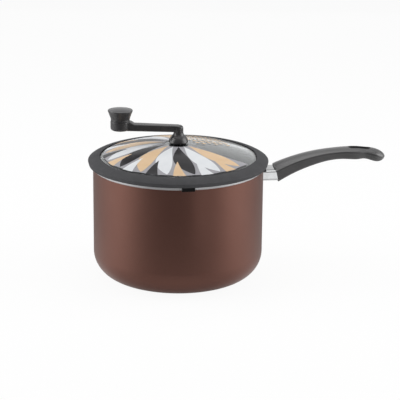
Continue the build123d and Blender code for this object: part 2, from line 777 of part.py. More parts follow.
pieces = {
    "pan_shell": pan_shell(),
    "handle_bracket": handle_bracket(),
    "bracket_rivets": Compound(children=bracket_rivets()),
    "flame_guard": flame_guard(),
    "handle_grip": handle_grip(),
    "grip_screw": grip_screw(),
    "screw_washer": screw_washer(),
    "grip_insert": grip_insert(),
    "lid_glass": lid_glass(),
    "lid_rim": lid_rim(),
    "shaft_bush": shaft_bush(),
    "upper_seal": glass_seal(glass_under, flange_top - bush_flange),
    "lower_seal": glass_seal(bush_nut_top, glass_under),
    "bush_nut": bush_nut(),
    "crank_arm": crank_arm(),
    "crank_shaft": crank_shaft(),
    "thrust_washer": tube(washer_radius, shaft_radius + thread_gap, clip_top, washer_top),
    "retaining_clip": retaining_clip(),
    "stirrer_hub": stirrer_hub(),
    "stirrer_wires": Compound(children=stirrer_wires()),
    "hub_grub_screw": hub_grub_screw(),
    "knob_pin": knob_pin(),
    "pin_nut": pin_nut(),
    "knob_washer": knob_washer_ring(),
    "crank_knob": crank_knob(),
    "knob_cap": knob_cap(),
}
for piece_name, piece_shape in pieces.items():
    save(piece_name, piece_shape)
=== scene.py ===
"""Looks of a stovetop popcorn popper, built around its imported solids.

A deep pan in satin brown enamel carries a domed glass lid in a dark soft rim.
A moulded crank stands on the lid and turns a wire stirrer inside the pan.

The scene is in metres, in the frame of the solids: +Z up, the handle along +X
and the origin on the pan's axis at its base. Sizes below are in millimetres
unless a name says otherwise, and MM turns them into metres.
"""

import json
import logging
import math
from collections.abc import Callable, Iterable, Sequence
from dataclasses import dataclass, field
from enum import Enum
from functools import cache
from typing import Any

import bmesh
import bpy
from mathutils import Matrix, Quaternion, Vector

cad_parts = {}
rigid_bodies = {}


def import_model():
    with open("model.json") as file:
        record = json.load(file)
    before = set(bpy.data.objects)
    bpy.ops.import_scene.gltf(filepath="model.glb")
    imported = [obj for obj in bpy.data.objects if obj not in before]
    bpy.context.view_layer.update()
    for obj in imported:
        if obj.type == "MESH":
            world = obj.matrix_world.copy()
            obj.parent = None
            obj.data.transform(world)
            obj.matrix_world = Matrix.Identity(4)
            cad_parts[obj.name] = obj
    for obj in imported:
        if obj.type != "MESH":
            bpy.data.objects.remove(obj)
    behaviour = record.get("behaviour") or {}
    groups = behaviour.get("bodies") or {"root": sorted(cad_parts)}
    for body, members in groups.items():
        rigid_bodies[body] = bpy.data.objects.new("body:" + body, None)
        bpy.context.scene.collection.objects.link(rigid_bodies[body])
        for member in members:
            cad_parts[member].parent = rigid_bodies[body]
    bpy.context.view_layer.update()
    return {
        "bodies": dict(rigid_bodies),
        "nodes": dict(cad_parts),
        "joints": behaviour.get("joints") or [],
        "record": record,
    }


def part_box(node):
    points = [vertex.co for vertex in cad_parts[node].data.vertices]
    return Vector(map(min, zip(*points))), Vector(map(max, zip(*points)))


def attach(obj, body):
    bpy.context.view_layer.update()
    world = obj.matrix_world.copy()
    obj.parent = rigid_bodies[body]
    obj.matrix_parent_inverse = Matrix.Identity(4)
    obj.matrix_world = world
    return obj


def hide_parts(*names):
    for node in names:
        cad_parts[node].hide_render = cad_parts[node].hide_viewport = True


MM = 0.001
LOG = logging.getLogger("popper")

Socket = bpy.types.NodeSocket
Tree = bpy.types.NodeTree


# ------------------------------------------------------------------ colour and nodes
def linear(hex_colour: str) -> tuple[float, float, float, float]:
    """Turns an sRGB hex colour into linear light.

    Args:
        hex_colour: six hex digits after a hash, such as "#7a564c".

    Returns:
        Red, green, blue and an alpha of one.
    """
    channels = [int(hex_colour[i : i + 2], 16) / 255 for i in (1, 3, 5)]
    lit = [c / 12.92 if c <= 0.04045 else ((c + 0.055) / 1.055) ** 2.4 for c in channels]
    return (*lit, 1.0)


def add_node(
    tree: Tree,
    kind: str,
    settings: dict[str | int, Any] | None = None,
    links: dict[str | int, Socket] | None = None,
) -> bpy.types.Node:
    """Adds one node with its settings and its incoming links.

    Args:
        tree: the node tree that it goes in.
        kind: Blender's name of the node's type.
        settings: values by the name of a property or by the name or index of an input.
        links: output sockets by the name or index of the input that each one feeds.

    Returns:
        The new node.
    """
    node = tree.nodes.new(kind)
    for key, value in (settings or {}).items():
        if isinstance(key, str) and hasattr(node, key):
            setattr(node, key, value)
        else:
            node.inputs[key].default_value = value
    for key, socket in (links or {}).items():
        tree.links.new(socket, node.inputs[key])
    return node


def millimetres(tree: Tree) -> Socket:
    """Gives a point's place on the resting object, in millimetres."""
    place = add_node(tree, "ShaderNodeTexCoord")
    scaled = add_node(
        tree,
        "ShaderNodeVectorMath",
        {"operation": "SCALE", "Scale": 1 / MM},
        {0: place.outputs["Object"]},
    )
    return scaled.outputs[0]


def lathe_marks(tree: Tree, pitch_mm: float) -> Socket:
    """Gives the fine rings that a turning tool leaves about the Z axis.

    Args:
        tree: the material's node tree.
        pitch_mm: distance between two rings.

    Returns:
        A height from 0 to 1 that changes with radius and height but not with angle.
    """
    apart = add_node(tree, "ShaderNodeSeparateXYZ", None, {0: millimetres(tree)})
    flat = add_node(
        tree, "ShaderNodeCombineXYZ", None, {"X": apart.outputs["X"], "Y": apart.outputs["Y"]}
    )
    radius = add_node(
        tree, "ShaderNodeVectorMath", {"operation": "LENGTH"}, {0: flat.outputs[0]}
    )
    turned = add_node(
        tree,
        "ShaderNodeCombineXYZ",
        None,
        {"X": radius.outputs["Value"], "Z": apart.outputs["Z"]},
    )
    rings = add_node(
        tree,
        "ShaderNodeTexNoise",
        {"Scale": 1 / pitch_mm, "Detail": 2.0, "Roughness": 0.6},
        {"Vector": turned.outputs[0]},
    )
    return rings.outputs["Fac"]


# ------------------------------------------------------------------ finishes
@dataclass(frozen=True)
class Finish:
    """A finish on one material: its tone, how rough it is and how it was made."""

    name: str
    colour: str
    roughness: float
    metallic: float = 0.0

    @cache
    def material(self) -> bpy.types.Material:
        """Gives this finish's material, made once and then shared."""
        made = bpy.data.materials.new(self.name)
        made.use_nodes = True
        made.node_tree.nodes.clear()
        shader = add_node(
            made.node_tree,
            "ShaderNodeBsdfPrincipled",
            {
                "Base Color": linear(self.colour),
                "Roughness": self.roughness,
                "Metallic": self.metallic,
            },
        )
        add_node(
            made.node_tree, "ShaderNodeOutputMaterial", None, {"Surface": shader.outputs[0]}
        )
        made.diffuse_color = linear(self.colour)
        self.dress(made.node_tree, shader)
        return made

    def dress(self, tree: Tree, shader: bpy.types.Node) -> None:
        """Adds what makes this finish more than one flat colour."""
        raise NotImplementedError

    def mottle(
        self, tree: Tree, shader: bpy.types.Node, grain: Socket, other: str, spread: float
    ) -> None:
        """Varies the base colour and the roughness with a grain.

        Args:
            tree: the material's node tree.
            shader: its Principled shader.
            grain: a value from 0 to 1.
            other: the colour at the grain's far end, in hex.
            spread: how much the roughness changes from one end to the other.
        """
        tone = add_node(
            tree,
            "ShaderNodeMix",
            {"data_type": "RGBA", 6: linear(self.colour), 7: linear(other)},
            {0: grain},
        )
        rough = add_node(
            tree,
            "ShaderNodeMapRange",
            {"To Min": self.roughness - spread / 2, "To Max": self.roughness + spread / 2},
            {"Value": grain},
        )
        tree.links.new(tone.outputs[2], shader.inputs["Base Color"])
        tree.links.new(rough.outputs[0], shader.inputs["Roughness"])

    def relief(self, tree: Tree, shader: bpy.types.Node, height: Socket, depth_mm: float) -> None:
        """Raises the surface by a height from 0 to 1, through the shader's normal."""
        bump = add_node(
            tree,
            "ShaderNodeBump",
            {"Strength": 1.0, "Distance": depth_mm * MM},
            {"Height": height},
        )
        tree.links.new(bump.outputs["Normal"], shader.inputs["Normal"])


@dataclass(frozen=True)
class SatinEnamel(Finish):
    """Brown enamel sprayed and stoved on pressed aluminium.

    It gives the eye a soft metallic sheen over a very slight orange peel. Its broad
    upright bands are not the enamel's own: they are a painted reflection of the
    floor's graded glow.
    """

    flake_mm: float = 1.1
    cloud_mm: float = 45.0
    peel_mm: float = 2.4
    flake_colour: str = "#8a655a"

    def dress(self, tree: Tree, shader: bpy.types.Node) -> None:
        """Adds pearl flakes, faint clouds and orange peel."""
        place = millimetres(tree)
        # Real flakes are 0.05 mm across; they are drawn at 1.1 mm, as coarse as it
        # takes for them to show from a step away.
        flake = add_node(
            tree,
            "ShaderNodeTexNoise",
            {"Scale": 1 / self.flake_mm, "Detail": 3.0, "Roughness": 0.7},
            {"Vector": place},
        )
        cloud = add_node(
            tree,
            "ShaderNodeTexNoise",
            {"Scale": 1 / self.cloud_mm, "Detail": 2.0},
            {"Vector": place},
        )
        both = add_node(
            tree,
            "ShaderNodeMath",
            {"operation": "MULTIPLY"},
            {0: flake.outputs["Fac"], 1: cloud.outputs["Fac"]},
        )
        self.mottle(tree, shader, both.outputs[0], self.flake_colour, 0.05)
        peel = add_node(
            tree,
            "ShaderNodeTexNoise",
            {"Scale": 1 / self.peel_mm, "Detail": 1.0},
            {"Vector": place},
        )
        self.relief(tree, shader, peel.outputs["Fac"], 0.008)


@dataclass(frozen=True)
class TurnedAluminium(Finish):
    """Aluminium left bare where a tool has faced it.

    It gives the eye a bright band with fine rings in it.
    """

    pitch_mm: float = 0.6
    depth_mm: float = 0.01
    groove_colour: str = "#b4b5b6"

    def dress(self, tree: Tree, shader: bpy.types.Node) -> None:
        """Adds the tool's rings."""
        rings = lathe_marks(tree, self.pitch_mm)
        self.mottle(tree, shader, rings, self.groove_colour, 0.12)
        self.relief(tree, shader, rings, self.depth_mm)


@dataclass(frozen=True)
class Nonstick(Finish):
    """Grey non-stick coating, sprayed in two coats on blasted aluminium.

    It gives the eye a soft grey with small pale and dark specks.
    """

    speck_mm: float = 1.6
    grit_mm: float = 0.7
    speck_colour: str = "#b0b0b4"

    def dress(self, tree: Tree, shader: bpy.types.Node) -> None:
        """Adds the specks and the blasted surface under them."""
        place = millimetres(tree)
        speck = add_node(
            tree,
            "ShaderNodeTexVoronoi",
            {"Scale": 1 / self.speck_mm, "Randomness": 1.0},
            {"Vector": place},
        )
        sparse = add_node(
            tree,
            "ShaderNodeMapRange",
            {"From Min": 0.28, "From Max": 0.12},
            {"Value": speck.outputs["Distance"]},
        )
        self.mottle(tree, shader, sparse.outputs[0], self.speck_colour, 0.06)
        grit = add_node(
            tree,
            "ShaderNodeTexNoise",
            {"Scale": 1 / self.grit_mm, "Detail": 2.0},
            {"Vector": place},
        )
        self.relief(tree, shader, grit.outputs["Fac"], 0.01)


@dataclass(frozen=True)
class MouldedPolymer(Finish):
    """Phenolic, acetal or silicone taken from a mould.

    It gives the eye the mould's own fine texture, with the faint unevenness of
    a surface that hands have rubbed.
    """

    grain_mm: float = 0.8
    depth_mm: float = 0.012
    rubbed_mm: float = 14.0
    rubbed_colour: str = "#4c4c4d"
    specular: float = 0.5
    bloom: float = 0.0

    def dress(self, tree: Tree, shader: bpy.types.Node) -> None:
        """Adds the mould's texture and the rubbed patches."""
        shader.inputs["Specular IOR Level"].default_value = self.specular
        shader.inputs["Sheen Weight"].default_value = self.bloom
        shader.inputs["Sheen Roughness"].default_value = 0.4
        place = millimetres(tree)
        rubbed = add_node(
            tree,
            "ShaderNodeTexNoise",
            {"Scale": 1 / self.rubbed_mm, "Detail": 4.0, "Roughness": 0.65},
            {"Vector": place},
        )
        some = add_node(
            tree,
            "ShaderNodeMapRange",
            {"From Min": 0.35, "From Max": 0.75},
            {"Value": rubbed.outputs["Fac"]},
        )
        self.mottle(tree, shader, some.outputs[0], self.rubbed_colour, 0.08)
        # The mould's texture is about 0.1 mm; it is drawn coarser so that it shows.
        grain = add_node(
            tree,
            "ShaderNodeTexNoise",
            {"Scale": 1 / self.grain_mm, "Detail": 3.0, "Roughness": 0.6},
            {"Vector": place},
        )
        self.relief(tree, shader, grain.outputs["Fac"], self.depth_mm)


@dataclass(frozen=True)
class PolishedSteel(Finish):
    """Stainless steel or brass, drawn or pressed and then polished or left as drawn.

    It gives the eye clear reflections that the finest scratches soften.
    """

    scratch_mm: float = 0.5
    smudge_mm: float = 9.0
    smudge_colour: str = "#c9cacb"
    depth_mm: float = 0.002

    def dress(self, tree: Tree, shader: bpy.types.Node) -> None:
        """Adds smudges and scratches that run along X."""
        place = millimetres(tree)
        smudge = add_node(
            tree,
            "ShaderNodeTexNoise",
            {"Scale": 1 / self.smudge_mm, "Detail": 3.0},
            {"Vector": place},
        )
        self.mottle(tree, shader, smudge.outputs["Fac"], self.smudge_colour, 0.06)
        drawn_out = add_node(
            tree,
            "ShaderNodeVectorMath",
            {"operation": "MULTIPLY", 1: (0.02, 1.0, 1.0)},
            {0: place},
        )
        scratch = add_node(
            tree,
            "ShaderNodeTexNoise",
            {"Scale": 1 / self.scratch_mm, "Detail": 2.0},
            {"Vector": drawn_out.outputs[0]},
        )
        self.relief(tree, shader, scratch.outputs["Fac"], self.depth_mm)


@dataclass(frozen=True)
class TemperedGlass(Finish):
    """Clear tempered glass, sagged over a mould.

    It gives the eye sharp reflections and a very slight waviness.
    """

    wave_mm: float = 30.0

    def dress(self, tree: Tree, shader: bpy.types.Node) -> None:
        """Lets light through and adds the waviness of sagged glass."""
        shader.inputs["Transmission Weight"].default_value = 1.0
        shader.inputs["IOR"].default_value = 1.5
        wave = add_node(
            tree,
            "ShaderNodeTexNoise",
            {"Scale": 1 / self.wave_mm, "Detail": 0.0},
            {"Vector": millimetres(tree)},
        )
        self.relief(tree, shader, wave.outputs["Fac"], 0.02)


@dataclass(frozen=True)
class CeramicInk(Finish):
    """Ceramic ink, screen printed on the glass and fired.

    It gives the eye an even, slightly chalky colour under a thin gloss.
    """

    mesh_mm: float = 0.9
    thin_colour: str = "#ffffff"

    def dress(self, tree: Tree, shader: bpy.types.Node) -> None:
        """Adds the faint unevenness of the printed film."""
        shader.inputs["Specular IOR Level"].default_value = 0.2
        place = millimetres(tree)
        film = add_node(
            tree,
            "ShaderNodeTexNoise",
            {"Scale": 1 / (12 * self.mesh_mm), "Detail": 4.0},
            {"Vector": place},
        )
        self.mottle(tree, shader, film.outputs["Fac"], self.thin_colour, 0.04)
        # The screen's mesh is 0.1 mm; it is drawn at 0.9 mm so that it shows.
        mesh = add_node(
            tree,
            "ShaderNodeTexNoise",
            {"Scale": 1 / self.mesh_mm, "Detail": 1.0},
            {"Vector": place},
        )
        self.relief(tree, shader, mesh.outputs["Fac"], 0.002)


BROWN_ENAMEL = SatinEnamel("satin_brown_enamel", "#7d574d", 0.36, 0.88)
BARE_LIP = TurnedAluminium("bare_turned_aluminium", "#e6e6e8", 0.3, 0.6)
BARE_BASE = TurnedAluminium(
    "faced_aluminium_base", "#c6c7c8", 0.34, 1.0, pitch_mm=1.4, depth_mm=0.05
)
GREY_NONSTICK = Nonstick("grey_nonstick", "#68686b", 0.5, speck_colour="#97979a")
CAST_ALUMINIUM = PolishedSteel("rough_cast_aluminium", "#b9babb", 0.42, 1.0, smudge_colour="#a3a4a6")
RIVET_ALUMINIUM = PolishedSteel("upset_aluminium", "#cfd0d1", 0.3, 1.0)
POLISHED_STEEL = PolishedSteel("polished_stainless_steel", "#e9eaeb", 0.09, 1.0)
DRAWN_STEEL = PolishedSteel(
    "drawn_stainless_steel", "#c4c6c8", 0.27, 1.0, smudge_colour="#aeb0b2"
)
TURNED_BRASS = PolishedSteel("turned_brass", "#cda968", 0.3, 1.0, smudge_colour="#b9934f")
BLACK_PHENOLIC = MouldedPolymer(
    "moulded_black_phenolic", "#363536", 0.3, rubbed_colour="#403f40", specular=0.6, bloom=0.15
)
GRIP_PHENOLIC = MouldedPolymer(
    "matt_black_phenolic", "#3a393a", 0.4, rubbed_colour="#444344", specular=0.9, bloom=0.3
)
# Painted light: this lighter copy of the black phenolic on the knob's cap, the knob's top, stands in
# for the light that falls on it.
TOP_LIT_PHENOLIC = MouldedPolymer(
    "phenolic_with_painted_top_light", "#403f41", 0.34, rubbed_colour="#4c4b4d", bloom=0.25
)
BLACK_ACETAL = MouldedPolymer("moulded_black_acetal", "#232324", 0.3, rubbed_colour="#303031")
GREY_SILICONE = MouldedPolymer(
    "soft_grey_silicone", "#49494b", 0.75, rubbed_colour="#525254", specular=0.1
)
# Painted shade: this near-black on the rim's keys stands in for the shade in the pan's notches under
# the rim.
KEY_SHADE_SILICONE = MouldedPolymer(
    "silicone_with_painted_key_shade", "#121213", 0.6, rubbed_colour="#1a1a1b", specular=0.2
)
CLEAR_GLASS = TemperedGlass("clear_tempered_glass", "#eef2f3", 0.0)


class Ink(Enum):
    """The colours that the lid is printed in."""

    TAN = CeramicInk("tan_ceramic_ink", "#d9b78f", 0.22, thin_colour="#e6caa8")
    WHITE = CeramicInk("white_ceramic_ink", "#dde0e4", 0.22, thin_colour="#eceef0")
    GREY = CeramicInk("grey_ceramic_ink", "#9c9ba0", 0.22, thin_colour="#aaa9ae")
    CHARCOAL = CeramicInk("charcoal_ceramic_ink", "#2c2b2d", 0.22, thin_colour="#3c3b3d")


# ------------------------------------------------------------------ meshes
def new_piece(
    name: str, mesh: bmesh.types.BMesh, finish: Finish, sharp_deg: float = 32.0
) -> bpy.types.Object:
    """Turns a built mesh into an object with smooth faces and crisp corners.

    Args:
        name: the piece's name.
        mesh: the mesh, which is freed.
        finish: what it is dressed in.
        sharp_deg: corners sharper than this stay crisp.

    Returns:
        The new object, in the scene.
    """
    bmesh.ops.recalc_face_normals(mesh, faces=mesh.faces[:])
    for face in mesh.faces:
        face.smooth = True
    for edge in mesh.edges:
        edge.smooth = edge.calc_face_angle(0.0) < math.radians(sharp_deg)
    data = bpy.data.meshes.new(name)
    mesh.to_mesh(data)
    mesh.free()
    data.materials.append(finish.material())
    piece = bpy.data.objects.new(name, data)
    bpy.context.scene.collection.objects.link(piece)
    return piece


def turned(
    name: str, profile: Sequence[tuple[float, float]], finish: Finish, segments: int = 192
) -> bpy.types.Object:
    """Turns a closed profile about the Z axis.

    Args:
        name: the piece's name.
        profile: radius and height of each point in millimetres, in order round the section.
        finish: what it is dressed in.
        segments: steps in the full turn.

    Returns:
        The new object.
    """
    mesh = bmesh.new()
    rings = []
    for step in range(segments):
        angle = math.tau * step / segments
        across, ahead = math.cos(angle), math.sin(angle)
        rings.append([mesh.verts.new((r * across * MM, r * ahead * MM, z * MM)) for r, z in profile])
    for step, ring in enumerate(rings):
        following = rings[(step + 1) % segments]
        for i in range(len(profile)):
            j = (i + 1) % len(profile)
            mesh.faces.new((ring[i], ring[j], following[j], following[i]))
    return new_piece(name, mesh, finish)


def dress(frame: dict[str, Any], finish: Finish, nodes: Iterable[str]) -> None:
    """Gives solids one finish all over and reports each one.

    Args:
        finish: the finish.
        nodes: the solids' names.
    """
    for node in nodes:
        slots = frame["nodes"][node].data.materials
        slots.clear()
        slots.append(finish.material())
        LOG.info("dressed %s in %s", node, finish.name)


# ------------------------------------------------------------------ pan and handle
class PanSkin(Enum):
    """The surfaces of the pan's shell, each with its own finish."""

    OUTSIDE = BROWN_ENAMEL
    INSIDE = GREY_NONSTICK
    LIP = BARE_LIP
    BASE = BARE_BASE


@dataclass
class Pan:
    """The pan's shell: enamelled outside, non-stick inside, bare lip and base."""

    frame: dict[str, Any]
    lip_mm: float = 3.4
    base_mm: float = 0.6
    cuts_from_mm: float = 100.0
    skins: list[PanSkin] = field(default_factory=lambda: list(PanSkin))

    def build(self) -> None:
        """Dresses the shell surface by surface."""
        shell = self.frame["nodes"]["pan_shell"].data
        _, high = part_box("pan_shell")
        shell.materials.clear()
        for skin in self.skins:
            shell.materials.append(skin.value.material())
        for face in shell.polygons:
            face.material_index = self.skins.index(self.skin_at(face.center, face.normal, high.z))
        LOG.info("dressed pan_shell in %d finishes", len(self.skins))

    def skin_at(self, place: Vector, facing: Vector, top: float) -> PanSkin:
        """Says which surface of the shell a face belongs to.

        Args:
            place: the face's middle, in metres.
            facing: the way that it faces.
            top: height of the lip's top, in metres.

        Returns:
            The surface's skin.
        """
        radius = Vector((place.x, place.y, 0))
        outward = radius.dot(facing) / max(radius.length, MM)
        cut_edge = place.z > self.cuts_from_mm * MM and abs(outward) < 0.5
        if place.z > top - self.lip_mm * MM or cut_edge:
            return PanSkin.LIP
        if place.z < self.base_mm * MM and facing.z < 0.5:
            return PanSkin.BASE
        return PanSkin.INSIDE if outward < -0.1 or facing.z > 0.5 else PanSkin.OUTSIDE


@dataclass
class Handle:
    """The grip, its flame guard and what holds them on the pan."""

    frame: dict[str, Any]

    def build(self) -> None:
        """Dresses the handle's solids."""
        dress(self.frame, GRIP_PHENOLIC, ["handle_grip"])
        dress(self.frame, POLISHED_STEEL, ["flame_guard"])
        dress(self.frame, CAST_ALUMINIUM, ["handle_bracket"])
        dress(self.frame, RIVET_ALUMINIUM, ["bracket_rivets"])
        dress(self.frame, DRAWN_STEEL, ["grip_screw", "screw_washer"])
        dress(self.frame, TURNED_BRASS, ["grip_insert"])


# ------------------------------------------------------------------ lid
class MotifShape(Enum):
    """Outlines of the printed motifs, by how their width changes along them."""

    LEAF = "leaf"
    WEDGE = "wedge"
    DIAMOND = "diamond"
    SECTOR = "sector"

    def share(self, along: float) -> float:
        """Gives the width at a share of the length, as a share of the full width."""
        if self is MotifShape.LEAF:
            return math.sin(math.pi * along**1.5) ** 0.8
        if self is MotifShape.WEDGE:
            return along
        if self is MotifShape.SECTOR:
            return 0.19 + 0.81 * along
        return 1 - abs(2 * along - 1)


@dataclass(frozen=True)
class Motif:
    """One printed motif, laid along a line out from the crank."""

    shape: MotifShape
    ink: Ink
    bearing_deg: float
    start_mm: float
    length_mm: float
    width_mm: float
    sweep_deg: float = 0.0

    def point(self, along: float, across: float) -> tuple[float, float]:
        """Gives a point of the motif in plan.

        Args:
            along: share of the length, from 0 to 1.
            across: share of the half width, from -1 to 1.

        Returns:
            X and Y in millimetres.
        """
        radius = self.start_mm + along * self.length_mm
        half = self.width_mm / 2 * self.shape.share(along)
        angle = math.radians(self.bearing_deg + self.sweep_deg * along**2)
        x, y = radius * math.cos(angle), radius * math.sin(angle)
        return x - across * half * math.sin(angle), y + across * half * math.cos(angle)


@dataclass
class Lid:
    """The glass dome with its print, the soft rim and the crank's bearing."""

    frame: dict[str, Any]
    dome_radius: float = 275.0
    glass_mm: float = 4.0
    ground_edge: float = 0.8
    hole_radius: float = 5.5
    key_from_mm: float = 99.2
    key_below_mm: float = 138.3
    fan_sweep_deg: float = 12.0
    leaf_start: float = 17.0
    leaf_length: float = 71.0
    leaf_width: float = 20.5
    ground_length: float = 72.0
    ground_width: float = 33.5
    wedge_turn_deg: float = 9.0
    wedge_start: float = 60.0
    wedge_length: float = 30.0
    wedge_width: float = 15.0
    wedge_sweep_deg: float = 2.0
    diamond_rows: int = 6
    diamonds_in_first_row: int = 4
    diamond_start: float = 20.0
    diamond_pitch: float = 7.6
    diamond_from_deg: float = 70.0
    diamond_step: float = 430.0
    diamond_length: float = 6.4
    diamond_width: float = 5.4
    ground_lift: tuple[float, float] = (0.02, 0.06)
    film_lift: tuple[float, float] = (0.08, 0.14)
    fan_start_deg: float = 96.0
    fan_step_deg: float = 21.0
    leaf_inks: tuple[Ink, ...] = (
        Ink.TAN,
        Ink.WHITE,
        Ink.CHARCOAL,
        Ink.TAN,
        Ink.WHITE,
        Ink.CHARCOAL,
        Ink.TAN,
        Ink.WHITE,
        Ink.CHARCOAL,
        Ink.WHITE,
        Ink.TAN,
    )
    wedge_inks: tuple[Ink, ...] = (
        Ink.CHARCOAL,
        Ink.TAN,
        Ink.WHITE,
        Ink.CHARCOAL,
        Ink.TAN,
        Ink.WHITE,
        Ink.CHARCOAL,
        Ink.TAN,
        Ink.WHITE,
        Ink.TAN,
    )
    motifs: list[Motif] = field(default_factory=list)

    def __post_init__(self) -> None:
        """Takes the dome's place from the solid glass."""
        low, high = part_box("lid_glass")
        self.edge_radius = high.x / MM
        inner_radius = self.dome_radius - self.glass_mm
        inner_edge = self.edge_radius - self.ground_edge
        self.centre_height = low.z / MM - math.sqrt(inner_radius**2 - inner_edge**2)

    def height(self, radius: float, lift: float = 0.0) -> float:
        """Gives the glass's outer face, or a face above it, at a radius."""
        return self.centre_height + math.sqrt((self.dome_radius + lift) ** 2 - radius**2)

    def glass_profile(self, steps: int = 28) -> list[tuple[float, float]]:
        """Gives the glass's section: outer face, ground edge, inner face and hole."""
        shoulder = self.edge_radius - self.ground_edge
        radii = [self.hole_radius + (shoulder - self.hole_radius) * i / steps for i in range(steps + 1)]
        outer = [(r, self.height(r)) for r in radii]
        inner = [(r, self.height(r, -self.glass_mm)) for r in reversed(radii)]
        edge = [
            (self.edge_radius, outer[-1][1] - self.ground_edge),
            (self.edge_radius, inner[0][1] + self.ground_edge),
        ]
        return outer + edge + inner

    def lay_out(self) -> list[Motif]:
        """Lays out the print: leaves and wedges on a grey ground, and rows of diamonds."""
        made = []
        for i, ink in enumerate(self.leaf_inks):
            bearing = self.fan_start_deg + i * self.fan_step_deg
            ground = (bearing, self.leaf_start, self.ground_length, self.ground_width)
            made.append(Motif(MotifShape.SECTOR, Ink.GREY, *ground, self.fan_sweep_deg))
            leaf = (bearing, self.leaf_start, self.leaf_length, self.leaf_width)
            made.append(Motif(MotifShape.LEAF, ink, *leaf, self.fan_sweep_deg))
        for i, ink in enumerate(self.wedge_inks):
            bearing = self.fan_start_deg + (i + 0.5) * self.fan_step_deg + self.wedge_turn_deg
            wedge = (bearing, self.wedge_start, self.wedge_length, self.wedge_width)
            made.append(Motif(MotifShape.WEDGE, ink, *wedge, self.wedge_sweep_deg))
        for row in range(self.diamond_rows):
            radius = self.diamond_start + self.diamond_pitch * row
            for i in range(self.diamonds_in_first_row + row):
                steps = i + 0.5 * (row % 2)
                bearing = self.diamond_from_deg - steps * self.diamond_step / radius
                diamond = (bearing, radius, self.diamond_length, self.diamond_width)
                made.append(Motif(MotifShape.DIAMOND, Ink.TAN, *diamond))
        return made

    def print_film(self, ink: Ink, along: int = 18, across: int = 6) -> bpy.types.Object:
        """Builds all motifs of one ink as thin films on the glass.

        Args:
            ink: the ink.
            along: steps along each motif.
            across: steps across each motif.

        Returns:
            The new object.
        """
        mesh = bmesh.new()
        for motif in self.motifs:
            if motif.ink is not ink:
                continue
            layers = []
            for lift in self.ground_lift if ink is Ink.GREY else self.film_lift:
                layer = []
                for i in range(along + 1):
                    row = []
                    for j in range(across + 1):
                        x, y = motif.point(i / along, 2 * j / across - 1)
                        z = self.height(math.hypot(x, y), lift)
                        row.append(mesh.verts.new((x * MM, y * MM, z * MM)))
                    layer.append(row)
                layers.append(layer)
            for layer in layers:
                for i in range(along):
                    for j in range(across):
                        mesh.faces.new(
                            (layer[i][j], layer[i + 1][j], layer[i + 1][j + 1], layer[i][j + 1])
                        )
            low, high = layers
            rim = [(i, 0) for i in range(along)] + [(along, j) for j in range(across)]
            rim += [(i, across) for i in range(along, 0, -1)] + [(0, j) for j in range(across, 0, -1)]
            for (a, b), (c, d) in zip(rim, rim[1:] + rim[:1]):
                mesh.faces.new((low[a][b], low[c][d], high[c][d], high[a][b]))
        bmesh.ops.remove_doubles(mesh, verts=mesh.verts[:], dist=0.004 * MM)
        return new_piece(f"lid_print_{ink.name.lower()}", mesh, ink.value)

    def build(self) -> None:
        """Builds the glass and its print, and dresses the rim and the bearing."""
        glass = turned("lid_glass_dome", self.glass_profile(), CLEAR_GLASS)
        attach(glass, "lid")
        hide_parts("lid_glass")
        LOG.info("built lid_glass_dome")
        self.motifs = self.lay_out()
        for ink in Ink:
            film = self.print_film(ink)
            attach(film, "lid")
            LOG.info("built %s", film.name)
        dress(self.frame, GREY_SILICONE, ["lid_rim", "upper_seal", "lower_seal"])
        self.paint_key_shade()
        dress(self.frame, BLACK_ACETAL, ["shaft_bush", "bush_nut"])

    def paint_key_shade(self) -> None:
        """Paints the rim's two keys near-black as painted shade: they stand in the pan's notches, under
        the rim.
        """
        rim = self.frame["nodes"]["lid_rim"].data
        rim.materials.append(KEY_SHADE_SILICONE.material())
        for face in rim.polygons:
            radius = math.hypot(face.center.x, face.center.y) / MM
            if radius > self.key_from_mm and face.center.z / MM < self.key_below_mm:
                face.material_index = 1
        LOG.info("blackened the keys of lid_rim")


# ------------------------------------------------------------------ crank and knob
@dataclass
class Crank:
    """The moulded crank, its shaft and the stirrer at the shaft's foot."""

    frame: dict[str, Any]

    def build(self) -> None:
        """Dresses the crank's solids."""
        dress(self.frame, BLACK_PHENOLIC, ["crank_arm"])
        dress(
            self.frame,
            DRAWN_STEEL,
            [
                "crank_shaft",
                "thrust_washer",
                "retaining_clip",
                "stirrer_hub",
                "stirrer_wires",
                "hub_grub_screw",
                "knob_pin",
                "pin_nut",
            ],
        )
        dress(self.frame, BLACK_ACETAL, ["knob_washer"])


@dataclass
class Knob:
    """The knob that spins on the crank, and its cap."""

    frame: dict[str, Any]

    def build(self) -> None:
        """Dresses the knob's solids."""
        dress(self.frame, BLACK_PHENOLIC, ["crank_knob"])
        dress(self.frame, TOP_LIT_PHENOLIC, ["knob_cap"])


# ------------------------------------------------------------------ studio
@dataclass(frozen=True)
class Lamp:
    """A square soft box that faces the popper."""

    name: str
    azimuth_deg: float
    elevation_deg: float
    distance_m: float
    side_m: float
    level: float

    def build(self, target: Vector) -> None:
        """Hangs the lamp. A level of one lights a white card that faces it as white."""
        data = bpy.data.lights.new(self.name, "AREA")
        data.size = self.side_m
        data.energy = self.level * math.pi**2 * self.distance_m**2
        lamp = bpy.data.objects.new(self.name, data)
        lamp.location = target + bearing(self.azimuth_deg, self.elevation_deg) * self.distance_m
        lamp.rotation_mode = "QUATERNION"
        lamp.rotation_quaternion = (target - lamp.location).to_track_quat("-Z", "Y")
        lamp.visible_camera = False
        bpy.context.scene.collection.objects.link(lamp)
        LOG.info("hung %s", self.name)


